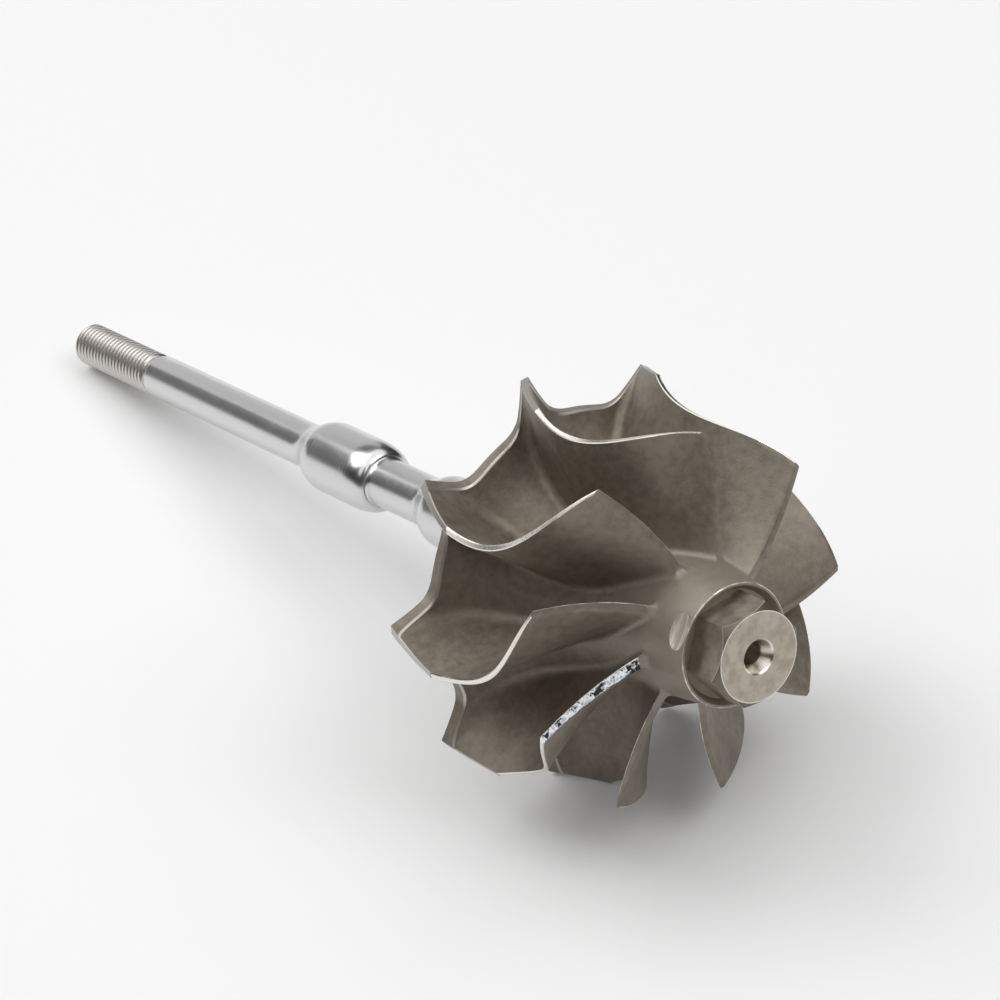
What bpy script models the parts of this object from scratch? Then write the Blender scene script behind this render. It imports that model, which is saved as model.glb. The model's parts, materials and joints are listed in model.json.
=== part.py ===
"""Turbocharger shaft and wheel, lying on its side as it is photographed.

The rotor is one cast radial turbine wheel with nine blades, joined to a turned steel shaft.
It rests on two wheel corners and on the threaded end, so its nose points up a little.

All sizes are in metres. Each piece is modelled upright on the rotor's axis: local +Z runs
towards the nose, z = 0 is the plane of the blades' outlet tips, and local +X is the side
that ends up on top. A parent empty then lays the rotor on the floor: the nose points to -Y
and the origin is on the floor under the middle of the whole part.
"""

import math

import bmesh
import bpy
from mathutils import Matrix, Vector

# Wheel
BLADES = 9
INLET_RADIUS = 0.02786
OUTLET_RADIUS = 0.02466
DISC_BACK_Z = -0.02481
DISC_RIM = 0.0013
INLET_FRONT_Z = -0.01686
SCALLOP_RADIUS = 0.02175
SCALLOP_HALF_ANGLE = math.radians(19.3)
SCALLOP_POWER = 4.6
HUB_RADIUS = 0.00888
HUB_Z = 0.00296
HUB_POWER = 2.6
HUB_SPLIT = 0.4
NOSE_RIM_RADIUS = 0.00813
NOSE_RIM_Z = 0.00974
NOSE_GROOVE_DEPTH = 0.0011
NOSE_GROOVE_OUTER = 0.00763
NOSE_NECK_RADIUS = 0.0056
BACK_BOSS_RADIUS = 0.0105
BACK_BOSS_FOOT = 0.0145
BACK_BOSS_Z = -0.0286
SHROUD_CURVE = (
    (INLET_FRONT_Z, INLET_RADIUS),
    (-0.00791, 0.02304),
    (-0.00358, 0.02497),
    (0.0, OUTLET_RADIUS),
)
SWEEP_CURVE = ((DISC_BACK_Z, 0.0), (-0.00967, 20.5), (-0.0063, 6.5), (HUB_Z, -31.0))
BLADE_TIP_THICKNESS = 0.00078
BLADE_ROOT_THICKNESS = 0.0023
BLADE_ROOT_DEPTH = 0.07

# Hexagonal nose
HEX_ACROSS_FLATS = 0.0119
HEX_FACE_Z = 0.01449
HEX_CHAMFER = 0.0007
HEX_CORNER_ANGLE = math.radians(32.7)
CENTRE_HOLE_RADIUS = 0.00217
CENTRE_HOLE_DEPTH = 0.0055
CENTRE_CONE_DEPTH = 0.0012

# Shaft
SEAL_BOSS_RADIUS = 0.0081
SEAL_BOSS_END_Z = -0.0370
RING_GROOVE_Z = -0.0335
RING_GROOVE_WIDTH = 0.0017
RING_GROOVE_RADIUS = 0.0068
JOURNAL_RADIUS = 0.00503
WAIST_RADIUS = 0.00346
STUB_RADIUS = 0.00319
THREAD_RADIUS = 0.00312
TURBINE_JOURNAL_END_Z = -0.0550
WAIST_END_Z = -0.0664
COMPRESSOR_JOURNAL_END_Z = -0.0842
STUB_END_Z = -0.1254
THREAD_END_Z = -0.1456
TURBINE_JOURNAL_TAPER = 0.0033
COMPRESSOR_JOURNAL_TAPER = 0.0041
JOURNAL_ROUNDING = 0.0033
ROUNDING_POWER = 1.8
SHAFT_CHAMFER = 0.0006

# Fit and fineness
GAP = 0.0003
WHEEL_STEPS = 72
SHAFT_STEPS = 36
HUB_POINTS = 14
SCALLOP_POINTS = 6
ROUNDING_POINTS = 5
BLADE_LENGTH_CELLS = 15
BLADE_HEIGHT_CELLS = 6
MERGE = 0.00001

PITCH = 2 * math.pi / BLADES


def material(name, colour, roughness, metallic):
    """A plain Principled material."""
    made = bpy.data.materials.new(name)
    made.use_nodes = True
    shader = made.node_tree.nodes["Principled BSDF"]
    shader.inputs["Base Color"].default_value = (*colour, 1.0)
    shader.inputs["Roughness"].default_value = roughness
    shader.inputs["Metallic"].default_value = metallic
    return made


def cast_alloy(name):
    return material(name, (0.22, 0.19, 0.16), 0.55, 0.85)


def ground_steel(name):
    return material(name, (0.62, 0.62, 0.63), 0.22, 1.0)


def collection(name):
    made = bpy.data.collections.new(name)
    bpy.context.scene.collection.children.link(made)
    return made


def add_object(name, mesh, home, parent, finish=None):
    """Link a mesh object on the rotor's axis."""
    made = bpy.data.objects.new(name, mesh)
    made.parent = parent
    home.objects.link(made)
    if finish:
        mesh.materials.append(finish)
    return made


def hide_guide(guide):
    guide.hide_render = True
    guide.display_type = "WIRE"


def bezier(points, t):
    """A point on a cubic Bezier curve."""
    p0, p1, p2, p3 = (Vector(p) for p in points)
    s = 1 - t
    return s**3 * p0 + 3 * s * s * t * p1 + 3 * s * t * t * p2 + t**3 * p3


def sweep_angle(z):
    """The blade's angle about the axis at a height z: its fibres are radial."""
    low, high = 0.0, 1.0
    for _ in range(40):
        middle = (low + high) / 2
        if bezier(SWEEP_CURVE, middle).x < z:
            low = middle
        else:
            high = middle
    return math.radians(bezier(SWEEP_CURVE, low).y)


def hub_point(t, swell=0.0):
    """The hub's curve from the disc's rim (t = 0) to the blades' outlet (t = 1), as (radius, z)."""
    angle = t * math.pi / 2
    length = HUB_Z - (DISC_BACK_Z + DISC_RIM) - swell
    rise = INLET_RADIUS - HUB_RADIUS - swell
    z = HUB_Z - length * math.cos(angle) ** (2 / HUB_POWER)
    radius = INLET_RADIUS - rise * math.sin(angle) ** (2 / HUB_POWER)
    return radius, z


def rounding(inner, outer, z_inner, z_outer):
    """A rounded shoulder from a small radius at z_inner up to a full radius at z_outer."""
    points = []
    for i in range(ROUNDING_POINTS + 1):
        angle = i / ROUNDING_POINTS * math.pi / 2
        radius = inner + (outer - inner) * math.sin(angle) ** (2 / ROUNDING_POWER)
        points.append((radius, z_outer + (z_inner - z_outer) * math.cos(angle) ** (2 / ROUNDING_POWER)))
    return points


def turned(name, profile, steps, home, parent, finish=None):
    """A solid of revolution: the profile runs down its outer side, from axis to axis."""
    mesh = bpy.data.meshes.new(name)
    edges = [(i, i + 1) for i in range(len(profile) - 1)]
    mesh.from_pydata([(radius, 0.0, z) for radius, z in profile], edges, [])
    made = add_object(name, mesh, home, parent, finish)
    screw = made.modifiers.new("turn", "SCREW")
    screw.axis = "Z"
    screw.steps = steps
    screw.render_steps = steps
    screw.use_merge_vertices = True
    screw.merge_threshold = MERGE
    screw.use_normal_calculate = False
    return made


def boolean(piece, cutter, operation="DIFFERENCE"):
    cut = piece.modifiers.new(operation.lower(), "BOOLEAN")
    cut.operation = operation
    cut.solver = "EXACT"
    cut.object = cutter


def hub_curve(low, high, swell=0.0):
    """The hub's curve between two shares of its length, from its nose end to its rim end."""
    steps = max(1, round((high - low) * HUB_POINTS))
    return [hub_point(low + (high - low) * i / steps, swell) for i in range(steps, -1, -1)]


def scallop_outline():
    """The disc's outline: a horn at each blade's foot and a round pocket between two blades."""
    points = []
    for pocket in range(BLADES):
        for i in range(-SCALLOP_POINTS, SCALLOP_POINTS + 1):
            share = math.sin(i / SCALLOP_POINTS * math.pi / 2)
            angle = (pocket + 0.5) * PITCH + share * SCALLOP_HALF_ANGLE
            rise = (INLET_RADIUS - SCALLOP_RADIUS) * abs(share) ** SCALLOP_POWER
            points.append((angle, SCALLOP_RADIUS + rise))
    return points


def scallop_prism(home, parent):
    """A prism with the scalloped outline, twisted so that each horn follows its blade's rake."""
    reach = 2 * (hub_point(HUB_SPLIT)[1] - DISC_BACK_Z)
    rake = sweep_angle(DISC_BACK_Z + reach) / reach
    outline = bpy.data.curves.new("scallop_outline", "CURVE")
    outline.dimensions = "2D"
    outline.fill_mode = "BOTH"
    outline.extrude = reach
    spline = outline.splines.new("POLY")
    points = scallop_outline()
    spline.points.add(len(points) - 1)
    for point, (angle, radius) in zip(spline.points, points):
        point.co = (radius * math.cos(angle), radius * math.sin(angle), 0.0, 1.0)
    spline.use_cyclic_u = True
    shape = bpy.data.objects.new("scallop_outline", outline)
    home.objects.link(shape)
    bpy.context.view_layer.update()
    evaluated = shape.evaluated_get(bpy.context.evaluated_depsgraph_get())
    mesh = bpy.data.meshes.new_from_object(evaluated)
    bpy.data.objects.remove(shape)
    welded = bmesh.new()
    welded.from_mesh(mesh)
    bmesh.ops.remove_doubles(welded, verts=welded.verts, dist=MERGE)
    bmesh.ops.recalc_face_normals(welded, faces=welded.faces)
    for vertex in welded.verts:
        vertex.co.rotate(Matrix.Rotation(rake * vertex.co.z, 3, "Z"))
        vertex.co.z += DISC_BACK_Z
    welded.to_mesh(mesh)
    welded.free()
    prism = add_object("scallop_prism", mesh, home, parent)
    hide_guide(prism)
    return prism


def scalloped_disc(home, guides, parent):
    """The wheel's back disc, from the weld boss to the foot of the hub's cone."""
    curve = hub_curve(0.0, HUB_SPLIT)
    back = [
        (INLET_RADIUS, DISC_BACK_Z),
        (BACK_BOSS_FOOT, DISC_BACK_Z),
        (BACK_BOSS_RADIUS, BACK_BOSS_Z),
        (0.0, BACK_BOSS_Z),
    ]
    profile = [(0.0, curve[0][1])] + curve + back
    disc = turned("scalloped_disc", profile, WHEEL_STEPS, home, parent, cast_alloy("disc_alloy"))
    boolean(disc, scallop_prism(guides, parent), "INTERSECT")


def wheel_hub(home, parent):
    """The cone and barrel that carry the blades, with a turned groove round the nose's neck."""
    groove_floor = NOSE_RIM_Z - NOSE_GROOVE_DEPTH
    nose = [
        (0.0, NOSE_RIM_Z),
        (NOSE_NECK_RADIUS, NOSE_RIM_Z),
        (NOSE_NECK_RADIUS, groove_floor),
        (NOSE_GROOVE_OUTER - NOSE_GROOVE_DEPTH / 2, groove_floor),
        (NOSE_GROOVE_OUTER, NOSE_RIM_Z),
        (NOSE_RIM_RADIUS, NOSE_RIM_Z),
    ]
    curve = hub_curve(HUB_SPLIT, 1.0)
    foot_radius, split_z = curve.pop()
    foot = [(foot_radius - GAP, split_z + GAP), (0.0, split_z + GAP)]
    profile = nose + curve + foot
    turned("wheel_hub", profile, WHEEL_STEPS, home, parent, cast_alloy("hub_alloy"))


def hub_trimmer(home, parent):
    """The whole hub grown by the gap: it trims the blades' feet."""
    curve = hub_curve(0.0, 1.0, GAP)
    wide = INLET_RADIUS * 1.1
    top = NOSE_RIM_Z + GAP
    nose = [(0.0, top), (NOSE_RIM_RADIUS + GAP, top)]
    back = [(wide, curve[-1][1]), (wide, DISC_BACK_Z), (0.0, DISC_BACK_Z)]
    trimmer = turned("hub_trimmer", nose + curve + back, WHEEL_STEPS, home, parent)
    hide_guide(trimmer)
    return trimmer


def blade_mesh():
    """One blade's middle surface: a grid between the hub's curve and the shroud's curve."""
    grid = bmesh.new()
    bmesh.ops.create_grid(
        grid, x_segments=BLADE_LENGTH_CELLS, y_segments=BLADE_HEIGHT_CELLS, size=0.5
    )
    layer = grid.verts.layers.deform.verify()
    thinnest = BLADE_TIP_THICKNESS / BLADE_ROOT_THICKNESS
    for vertex in grid.verts:
        along = vertex.co.x + 0.5
        height = vertex.co.y + 0.5
        hub_radius, hub_z = hub_point(along)
        shroud_z, shroud_radius = bezier(SHROUD_CURVE, along)
        reach = height * (1 + BLADE_ROOT_DEPTH) - BLADE_ROOT_DEPTH
        radius = hub_radius + (shroud_radius - hub_radius) * reach
        z = hub_z + (shroud_z - hub_z) * reach
        angle = sweep_angle(z)
        vertex.co = (radius * math.cos(angle), radius * math.sin(angle), z)
        vertex[layer][0] = thinnest + (1 - thinnest) * (1 - height) ** 1.5
    mesh = bpy.data.meshes.new("blade")
    grid.to_mesh(mesh)
    grid.free()
    return mesh


def blades(home, guides, parent):
    """Nine equal blades, each trimmed to sit just clear of the hub."""
    trimmer = hub_trimmer(guides, parent)
    mesh = blade_mesh()
    mesh.materials.append(cast_alloy("blade_alloy"))
    for i in range(BLADES):
        blade = add_object(f"blade_{i + 1}", mesh, home, parent)
        blade.rotation_euler.z = -i * PITCH
        if not blade.vertex_groups:
            blade.vertex_groups.new(name="thickness")
        skin = blade.modifiers.new("thickness", "SOLIDIFY")
        skin.thickness = BLADE_ROOT_THICKNESS
        skin.offset = 0.0
        skin.vertex_group = "thickness"
        boolean(blade, trimmer)


def nose_hex(home, guides, parent):
    """The hexagon that a spanner grips, with a chamfered face and a centre drilling."""
    foot = NOSE_RIM_Z + GAP
    length = HEX_FACE_Z - foot
    prism = bmesh.new()
    corner = HEX_ACROSS_FLATS / 2 / math.cos(math.pi / 6)
    bmesh.ops.create_cone(
        prism, cap_ends=True, segments=6, radius1=corner, radius2=corner, depth=length
    )
    bmesh.ops.translate(prism, verts=prism.verts, vec=(0, 0, foot + length / 2))
    mesh = bpy.data.meshes.new("nose_hex")
    prism.to_mesh(mesh)
    prism.free()
    nose = add_object("nose_hex", mesh, home, parent, cast_alloy("hex_alloy"))
    nose.rotation_euler.z = HEX_CORNER_ANGLE - math.pi / 2
    flat = HEX_ACROSS_FLATS / 2
    reach = corner - flat + HEX_CHAMFER
    rounder = turned(
        "hex_rounder",
        [
            (0.0, HEX_FACE_Z + GAP),
            (flat - GAP * reach / HEX_CHAMFER, HEX_FACE_Z + GAP),
            (flat + reach, HEX_FACE_Z - HEX_CHAMFER),
            (flat + reach, foot - GAP),
            (0.0, foot - GAP),
        ],
        SHAFT_STEPS,
        guides,
        parent,
    )
    hide_guide(rounder)
    boolean(nose, rounder, "INTERSECT")
    drill = turned(
        "centre_drill",
        [
            (0.0, HEX_FACE_Z + GAP),
            (CENTRE_HOLE_RADIUS, HEX_FACE_Z + GAP),
            (CENTRE_HOLE_RADIUS, HEX_FACE_Z - CENTRE_HOLE_DEPTH + CENTRE_CONE_DEPTH),
            (0.0, HEX_FACE_Z - CENTRE_HOLE_DEPTH),
        ],
        24,
        guides,
        parent,
    )
    hide_guide(drill)
    boolean(nose, drill)


def shaft_section(name, profile, home, parent):
    return turned(name, profile, SHAFT_STEPS, home, parent, ground_steel(name + "_steel"))


def seal_boss(home, parent):
    """The steel shoulder behind the wheel, with the groove for the sealing ring."""
    top = BACK_BOSS_Z - GAP
    groove_top = RING_GROOVE_Z + RING_GROOVE_WIDTH / 2
    groove_foot = RING_GROOVE_Z - RING_GROOVE_WIDTH / 2
    profile = [
        (0.0, top),
        (SEAL_BOSS_RADIUS, top),
        (SEAL_BOSS_RADIUS, groove_top),
        (RING_GROOVE_RADIUS, groove_top),
        (RING_GROOVE_RADIUS, groove_foot),
        (SEAL_BOSS_RADIUS, groove_foot),
        (SEAL_BOSS_RADIUS, SEAL_BOSS_END_Z + SHAFT_CHAMFER),
        (SEAL_BOSS_RADIUS - SHAFT_CHAMFER, SEAL_BOSS_END_Z),
        (0.0, SEAL_BOSS_END_Z),
    ]
    shaft_section("seal_boss", profile, home, parent)


def turbine_journal(home, parent):
    """The inner bearing journal, tapered down to the waist."""
    top = SEAL_BOSS_END_Z - GAP
    end = TURBINE_JOURNAL_END_Z
    profile = [
        (0.0, top),
        (JOURNAL_RADIUS, top),
        (JOURNAL_RADIUS, end + TURBINE_JOURNAL_TAPER),
        (WAIST_RADIUS, end),
        (0.0, end),
    ]
    shaft_section("turbine_journal", profile, home, parent)


def shaft_waist(home, parent):
    top = TURBINE_JOURNAL_END_Z - GAP
    profile = [(0.0, top), (WAIST_RADIUS, top), (WAIST_RADIUS, WAIST_END_Z), (0.0, WAIST_END_Z)]
    shaft_section("shaft_waist", profile, home, parent)


def compressor_journal(home, parent):
    """The outer bearing journal, rounded down to the waist and tapered down to the stub."""
    top = WAIST_END_Z - GAP
    end = COMPRESSOR_JOURNAL_END_Z
    head = rounding(WAIST_RADIUS, JOURNAL_RADIUS, top, top - JOURNAL_ROUNDING)
    foot = [(JOURNAL_RADIUS, end + COMPRESSOR_JOURNAL_TAPER), (STUB_RADIUS, end)]
    profile = [(0.0, top)] + head + foot + [(0.0, end)]
    shaft_section("compressor_journal", profile, home, parent)


def stub_shaft(home, parent):
    """The long stub that carries the compressor wheel."""
    top = COMPRESSOR_JOURNAL_END_Z - GAP
    profile = [
        (0.0, top),
        (STUB_RADIUS, top),
        (STUB_RADIUS, STUB_END_Z + SHAFT_CHAMFER / 2),
        (STUB_RADIUS - SHAFT_CHAMFER / 2, STUB_END_Z),
        (0.0, STUB_END_Z),
    ]
    shaft_section("stub_shaft", profile, home, parent)


def threaded_end(home, parent):
    """The end that takes the clamping nut, at its thread's outer diameter."""
    top = STUB_END_Z - GAP
    profile = [
        (0.0, top),
        (THREAD_RADIUS, top),
        (THREAD_RADIUS, THREAD_END_Z + SHAFT_CHAMFER),
        (THREAD_RADIUS - SHAFT_CHAMFER, THREAD_END_Z),
        (0.0, THREAD_END_Z),
    ]
    shaft_section("threaded_end", profile, home, parent)


def lay_down(rotor):
    """Turn the axis so that two disc horns and the threaded end touch the floor together."""
    corner_drop = INLET_RADIUS * math.cos(SCALLOP_HALF_ANGLE)
    reach = DISC_BACK_Z - (THREAD_END_Z + SHAFT_CHAMFER)
    tilt = math.atan2(corner_drop - THREAD_RADIUS, reach)
    top_side = Vector((0.0, math.sin(tilt), math.cos(tilt)))
    nose_way = Vector((0.0, -math.cos(tilt), math.sin(tilt)))
    turn = Matrix((top_side, nose_way.cross(top_side), nose_way)).transposed()
    rotor.matrix_world = turn.to_4x4()


def seat_on_floor(rotor, pieces):
    """Move the rotor so that its box stands on the floor with its middle over the origin."""
    bpy.context.view_layer.update()
    graph = bpy.context.evaluated_depsgraph_get()
    corners = []
    for piece in pieces:
        shape = piece.evaluated_get(graph)
        mesh = shape.to_mesh()
        corners += [shape.matrix_world @ vertex.co for vertex in mesh.vertices]
        shape.to_mesh_clear()
    low = Vector([min(c[axis] for c in corners) for axis in range(3)])
    high = Vector([max(c[axis] for c in corners) for axis in range(3)])
    rotor.location -= Vector(((low.x + high.x) / 2, (low.y + high.y) / 2, low.z))


def build():
    for leftover in list(bpy.data.objects):
        bpy.data.objects.remove(leftover)
    home = collection("turbocharger_shaft_and_wheel")
    guides = collection("guides")
    rotor = bpy.data.objects.new("rotor_axis", None)
    home.objects.link(rotor)
    lay_down(rotor)
    scalloped_disc(home, guides, rotor)
    wheel_hub(home, rotor)
    blades(home, guides, rotor)
    nose_hex(home, guides, rotor)
    seal_boss(home, rotor)
    turbine_journal(home, rotor)
    shaft_waist(home, rotor)
    compressor_journal(home, rotor)
    stub_shaft(home, rotor)
    threaded_end(home, rotor)
    seat_on_floor(rotor, [piece for piece in home.objects if piece.type == "MESH"])


build()
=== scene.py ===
# %% [markdown]
# # Turbocharger shaft and wheel
# The rotor of a small turbocharger: one cast radial turbine wheel with nine blades and a hexagonal
# nose, friction welded to a ground steel shaft that ends in a thread. It lies on a pale table,
# resting on two corners of the wheel and on the thread.
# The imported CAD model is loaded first. It fixes every size and place, so what is modelled here is
# the finer shape and the finish of each piece.

# %% Load the frame
import json
import math

import bpy
import numpy as np
from mathutils import Matrix, Vector


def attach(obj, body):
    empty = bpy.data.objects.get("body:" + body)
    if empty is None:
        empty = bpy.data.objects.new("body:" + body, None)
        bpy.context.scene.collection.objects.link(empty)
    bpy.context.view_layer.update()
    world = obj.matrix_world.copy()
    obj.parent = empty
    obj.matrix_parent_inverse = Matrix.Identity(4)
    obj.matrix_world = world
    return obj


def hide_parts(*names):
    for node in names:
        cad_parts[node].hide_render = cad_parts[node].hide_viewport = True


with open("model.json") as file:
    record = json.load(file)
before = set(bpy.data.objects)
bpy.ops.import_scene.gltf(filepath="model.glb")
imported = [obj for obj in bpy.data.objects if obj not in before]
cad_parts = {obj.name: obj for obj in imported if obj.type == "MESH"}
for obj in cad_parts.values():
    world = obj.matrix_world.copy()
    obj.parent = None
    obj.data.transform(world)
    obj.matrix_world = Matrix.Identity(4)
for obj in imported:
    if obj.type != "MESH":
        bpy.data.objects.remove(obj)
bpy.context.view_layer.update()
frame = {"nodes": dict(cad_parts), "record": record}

nodes = frame["nodes"]
print("CAD nodes:", len(nodes))

# %% [markdown]
# ## The rotor's axis
# A turned part is easiest to draw upright on its own axis. The record names two flat faces on that
# axis, the end of the thread and the face of the hexagon, and each states where it points. From
# them come the axis, the side that is on top, and one matrix that lays finished pieces down. Seen
# upright, a CAD node's reach from the axis and along it can be read off its vertices.

# %% Find the axis
mounts = {mount["name"]: mount for mount in frame["record"]["mounts"]}
thread_face = Vector(mounts["thread_end_face"]["pos_m"])
NOSE_WAY = Vector(mounts["hex_end_face"]["axis"]).normalized()
TOP_SIDE = (Vector((0, 0, 1)) - NOSE_WAY.z * NOSE_WAY).normalized()
THREAD_END_Z = -0.1456
turn = Matrix((TOP_SIDE, NOSE_WAY.cross(TOP_SIDE), NOSE_WAY)).transposed()
LAID_DOWN = Matrix.Translation(thread_face - THREAD_END_Z * NOSE_WAY) @ turn.to_4x4()
UPRIGHT = LAID_DOWN.inverted()
print("tilt of the axis:", round(math.degrees(math.asin(NOSE_WAY.z)), 2), "degrees")


# %% Measure the CAD nodes
def span(node):
    """A CAD node's largest radius and its lowest and highest place along the axis."""
    points = np.array([UPRIGHT @ vertex.co for vertex in nodes[node].data.vertices])
    radius = np.hypot(points[:, 0], points[:, 1]).max()
    return radius, points[:, 2].min(), points[:, 2].max()


for node in ("scalloped_disc", "wheel_hub", "blade_1", "nose_hex"):
    print(node, [round(float(size) * 1000, 2) for size in span(node)], "mm")

# %% [markdown]
# ## Drawing helpers
# Pieces are shaped with Blender's own operators, which act on whatever is selected, so each piece
# starts with nothing selected. Points nearer than a set distance are welded into one: DOUBLE joins
# the wheel's sheets, SLIVER clears the tiny edges that a Boolean leaves, and HAIR spares the finest
# corners of a turned profile. Every finished piece is laid down, its place is put into its mesh,
# it is hung under the root body, and the CAD nodes it stands for are hidden.

# %% Helpers for pieces
DOUBLE = 0.00001
SLIVER = 0.000002
HAIR = 0.000001


def start_clean():
    """Leave edit mode, with nothing selected."""
    if bpy.context.object and bpy.context.object.mode != "OBJECT":
        bpy.ops.object.mode_set(mode="OBJECT")
    bpy.ops.object.select_all(action="DESELECT")


def choose(*pieces):
    """Select these pieces, and make the first one active."""
    start_clean()
    for piece in pieces:
        piece.select_set(True)
    bpy.context.view_layer.objects.active = pieces[0]


def join(pieces, name):
    """Make one piece of several."""
    choose(*pieces)
    bpy.ops.object.join()
    pieces[0].name = name
    return pieces[0]


def weld(piece, distance):
    """Merge points closer than a distance, and turn every face outwards."""
    choose(piece)
    bpy.ops.object.mode_set(mode="EDIT")
    bpy.ops.mesh.select_all(action="SELECT")
    bpy.ops.mesh.remove_doubles(threshold=distance)
    bpy.ops.mesh.normals_make_consistent(inside=False)
    bpy.ops.object.mode_set(mode="OBJECT")


def cut(piece, tool, operation="DIFFERENCE", keep_finish=False):
    """Apply one Boolean to a piece, weld the slivers it leaves, and throw the tool away."""
    choose(piece)
    boolean = piece.modifiers.new("cut", "BOOLEAN")
    boolean.operation = operation
    boolean.solver = "EXACT"
    boolean.material_mode = "TRANSFER" if keep_finish else "INDEX"
    boolean.object = tool
    bpy.ops.object.modifier_apply(modifier="cut")
    bpy.data.objects.remove(tool)
    weld(piece, SLIVER)


def lay_down(piece, slot, *replaced, smooth=32):
    """Shade and lay down a piece, hang it under the root body, and hide the CAD nodes it replaces.
    """
    choose(piece)
    bpy.ops.object.shade_smooth_by_angle(angle=math.radians(smooth))
    piece.matrix_world = LAID_DOWN
    bpy.ops.object.transform_apply(location=True, rotation=True, scale=True)
    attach(piece, "root")
    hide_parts(*replaced)
    print(piece.name, len(piece.data.polygons), "faces")


# %% [markdown]
# ## Shader arithmetic
# A finish is a small program. Wire wraps one shader socket, so that sums, products and powers of
# masks are written as ordinary Python, and each of them adds its Math node. Anything else, such as
# a noise or a bump, comes from the one method node(). A Mix node has sockets for several kinds of
# value under the same names, so its colours are found by number.

# %% Wires
FIRST_COLOUR, SECOND_COLOUR, MIXED_COLOUR = 6, 7, 2


class Wire:
    """One shader socket that takes part in ordinary arithmetic."""

    def __init__(self, tree, socket):
        self.tree = tree
        self.socket = socket

    def node(self, kind, inputs, output=0, **settings):
        """Add a node: first its settings, then the values or the wires of its sockets."""
        made = self.tree.nodes.new("ShaderNode" + kind)
        for name, value in settings.items():
            setattr(made, name, value)
        for name, value in inputs.items():
            if isinstance(value, Wire):
                self.tree.links.new(value.socket, made.inputs[name])
            else:
                made.inputs[name].default_value = value
        return Wire(self.tree, made.outputs[output])

    def math(self, operation, *values):
        """Add a Math node that works on wires and numbers."""
        return self.node("Math", dict(enumerate(values)), operation=operation)

    def __add__(self, other):
        return self.math("ADD", self, other)

    def __radd__(self, other):
        return self.math("ADD", other, self)

    def __sub__(self, other):
        return self.math("SUBTRACT", self, other)

    def __rsub__(self, other):
        return self.math("SUBTRACT", other, self)

    def __mul__(self, other):
        return self.math("MULTIPLY", self, other)

    def __rmul__(self, other):
        return self.math("MULTIPLY", other, self)

    def __pow__(self, other):
        return self.math("POWER", self, other)

    def between(self, low, high):
        """0 below low, 1 above high, and a soft step in between."""
        inputs = {"Value": self, "From Min": low, "From Max": high}
        return self.node("MapRange", inputs, interpolation_type="SMOOTHSTEP")

    def mix(self, first, second):
        """A colour between two others, with this wire as the share of the second."""
        inputs = {"Factor": self, FIRST_COLOUR: first, SECOND_COLOUR: second}
        return self.node("Mix", inputs, output=MIXED_COLOUR, data_type="RGBA")


# %% Finishes
def finish(name, metallic, roughness, colour=(0.5, 0.5, 0.5, 1), **fixed):
    """A new Principled material, and the wire that gives a point's place on its piece."""
    material = bpy.data.materials.new(name)
    material.use_nodes = True
    shader = material.node_tree.nodes["Principled BSDF"]
    shader.inputs["Base Color"].default_value = colour
    shader.inputs["Metallic"].default_value = metallic
    shader.inputs["Roughness"].default_value = roughness
    for socket, value in fixed.items():
        shader.inputs[socket.replace("_", " ")].default_value = value
    place = material.node_tree.nodes.new("ShaderNodeTexCoord")
    return material, Wire(material.node_tree, place.outputs["Object"])


def feed(material, **wires):
    """Link wires to the Principled shader's sockets."""
    shader = material.node_tree.nodes["Principled BSDF"]
    for socket, wire in wires.items():
        material.node_tree.links.new(wire.socket, shader.inputs[socket.replace("_", " ")])


def noise(place, size, detail=2.0, roughness=0.5):
    """Fractal noise whose blobs are about this many metres across."""
    inputs = {"Vector": place, "Scale": 1 / size, "Detail": detail, "Roughness": roughness}
    return place.node("TexNoise", inputs)


def bump(height, depth):
    """Let a height from 0 to 1 stand out by this many metres."""
    return height.node("Bump", {"Height": height, "Distance": depth, "Strength": 1.0})


def on_axis(place):
    """The same place seen upright on the rotor's axis."""
    shift, turn_back = UPRIGHT.to_translation(), UPRIGHT.to_euler()
    inputs = {"Vector": place, "Location": shift, "Rotation": turn_back}
    return place.node("Mapping", inputs, vector_type="POINT")


def split(place):
    """The x, y and z wires of a place."""
    first = place.node("SeparateXYZ", {"Vector": place})
    sockets = first.socket.node.outputs
    return [Wire(place.tree, sockets[axis]) for axis in range(3)]


def stretched(place, across, around, along):
    """A place measured in blobs of their own size in each direction."""
    scale = (1 / across, 1 / around, 1 / along)
    return place.node("Mapping", {"Vector": place, "Scale": scale}, vector_type="POINT")


# %% [markdown]
# ## The cast skin
# Turbine wheels are cast from a nickel alloy and shot blasted. The skin is a fine, even grain in a
# warm grey brown that hardly shines, and a little browner and darker in patches where hot gas has
# coloured it. The hub round the nose is painted paler: partly cleaner metal, partly painted light
# where the lamps leave it darker. Fine noise makes the grain as bump, and broad noise moves the
# colour.

# %% Cast skin
GAS_BROWN = (0.185, 0.156, 0.120, 1)
BLASTED_ALLOY = (0.295, 0.257, 0.207, 1)
NOSE_PALE_AND_LIT = (0.35, 0.31, 0.26, 1)


def from_axis(x, y):
    """A point's distance from the axis, from its two places across it."""
    return (x * x + y * y) ** 0.5


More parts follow.
